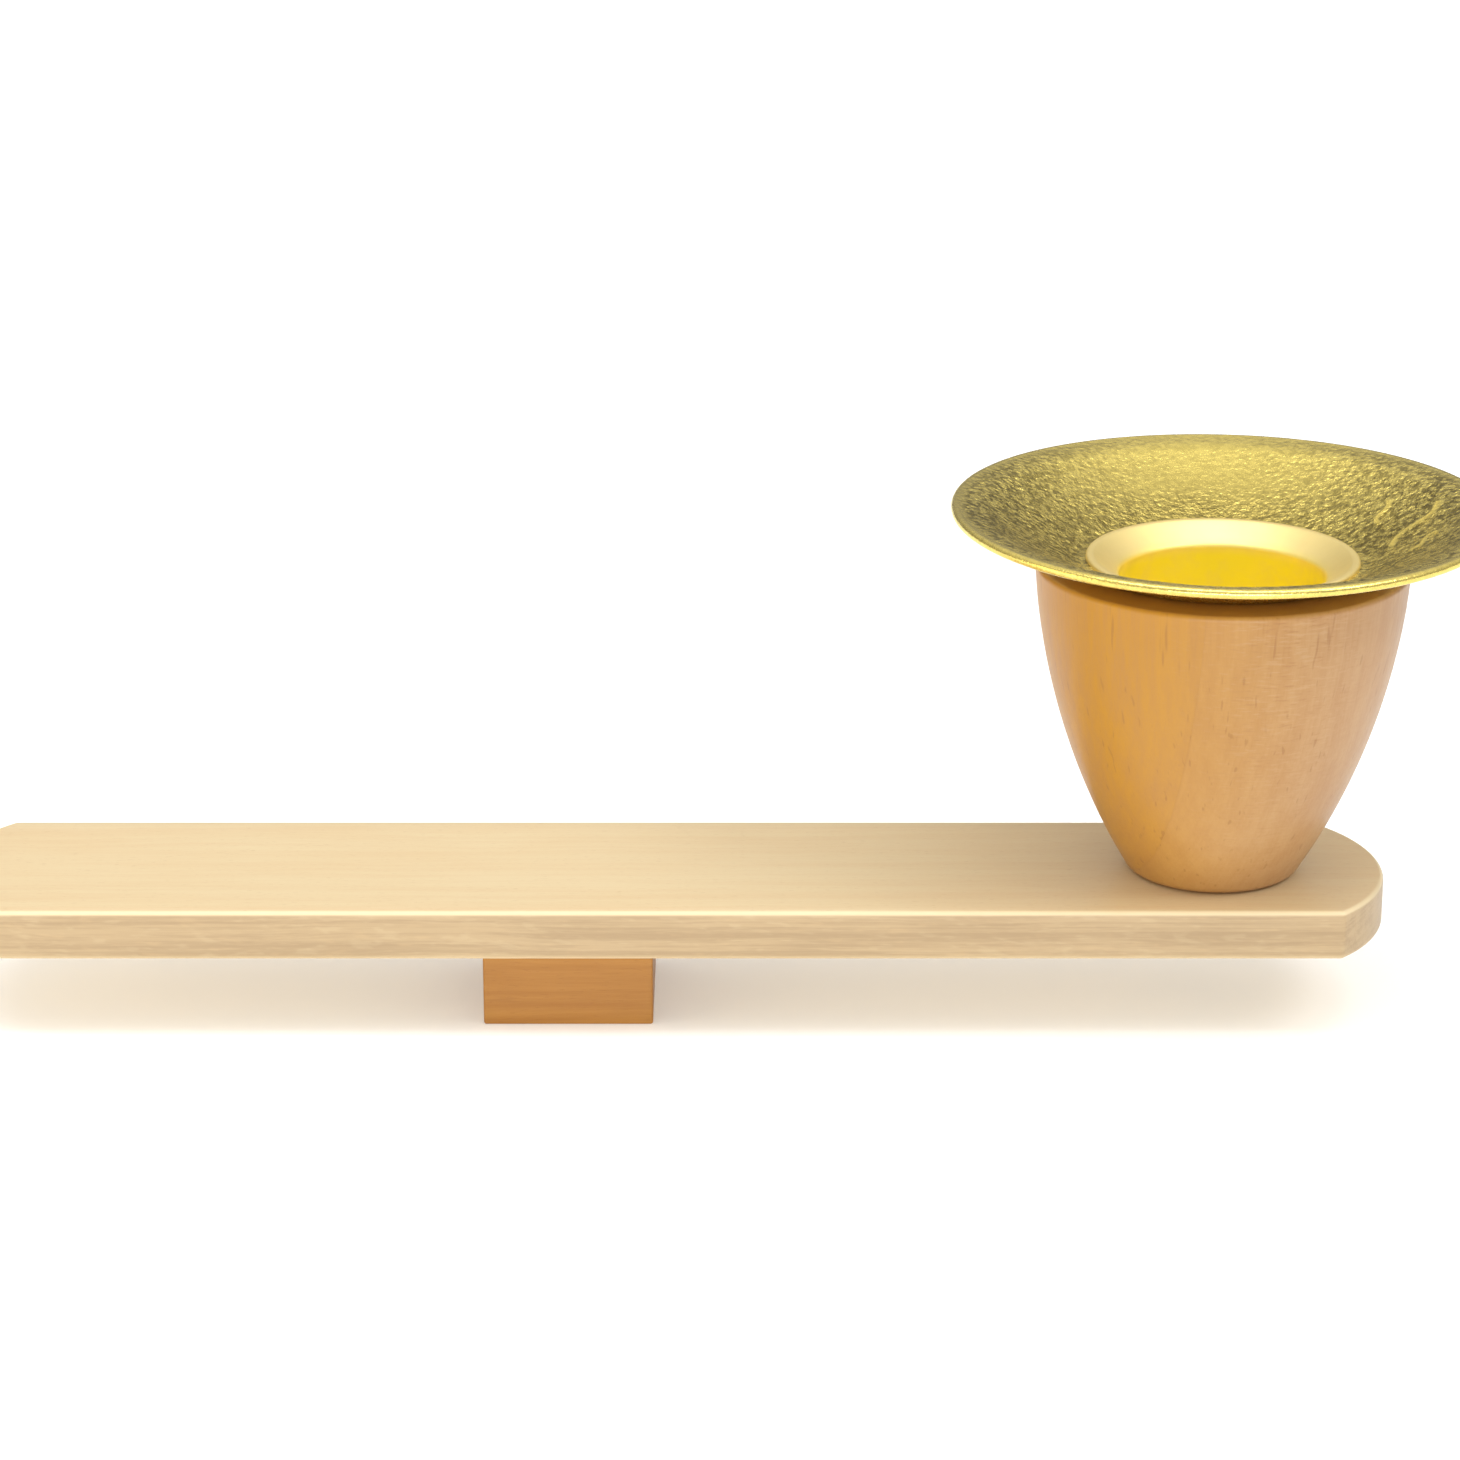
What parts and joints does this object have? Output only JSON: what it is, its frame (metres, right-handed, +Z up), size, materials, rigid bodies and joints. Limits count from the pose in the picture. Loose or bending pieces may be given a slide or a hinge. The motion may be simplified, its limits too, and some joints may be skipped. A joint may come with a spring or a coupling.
{
  "type": "votive candle rack",
  "caption": "Bow-ended wooden board on a square block, with a turned wooden cup at one end that holds a brass candle socket and a wide dished brass drip pan.",
  "frame": {"origin": "centre of the block's underside, at the mouth of the stand's threaded insert", "axes": "+X along the board from the block towards the cup, +Y to the back, +Z up; -Z is the way the stand's rod leaves its thread"},
  "size_m": [0.548, 0.19, 0.1831],
  "materials": {
    "beech_board": "oiled pale beech, planed, grain along the board",
    "beech_block": "oiled beech, warmer in tone",
    "beech_cup": "turned and oiled beech, grain upright",
    "beech_dowel": "plain beech",
    "hammered_brass": "fine crinkled hammering, polished",
    "spun_brass": "spun, satin lip, bright inside",
    "turned_brass": "turned",
    "zinc_steel": "bright zinc plate"
  },
  "bodies": {
    "rack": {"board": "beech_board", "support_block": "beech_block", "block_screws": "zinc_steel", "stand_insert": "turned_brass", "cup_body": "beech_cup", "cup_insert": "turned_brass", "cup_washer": "zinc_steel", "cup_bolt": "zinc_steel", "cup_dowels": "beech_dowel"},
    "pan": {"drip_pan": "hammered_brass"},
    "socket": {"candle_socket": "spun_brass"}
  },
  "joints": [
    {"name": "pan_lift", "type": "slide", "parent": "rack", "child": "pan", "axis": [0, 0, 1], "range_m": [0, 0.06]},
    {"name": "socket_lift", "type": "slide", "parent": "pan", "child": "socket", "axis": [0, 0, 1], "range_m": [0, 0.06]}
  ]
}
